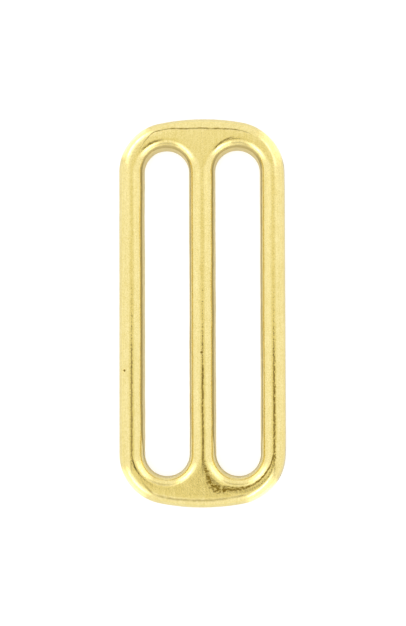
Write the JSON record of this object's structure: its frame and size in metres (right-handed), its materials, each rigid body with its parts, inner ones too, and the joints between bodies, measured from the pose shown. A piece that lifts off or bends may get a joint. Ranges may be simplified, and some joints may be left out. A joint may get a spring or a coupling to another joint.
{
  "type": "three bar strap slide",
  "caption": "Cast brass strap slide for wide webbing: a rounded frame with long parallel slots beside a centre bar, domed on its face and flat on its back.",
  "frame": {"origin": "middle of the flat back, the plane it rests on", "axes": "+X across the bars, +Y along the bars and slots, +Z out of the domed face"},
  "size_m": [0.0262, 0.061, 0.0032],
  "materials": {
    "polished_brass": "hand-polished face over as-cast slot walls"
  },
  "bodies": {
    "root": {"slide_body": "polished_brass"}
  },
  "joints": []
}
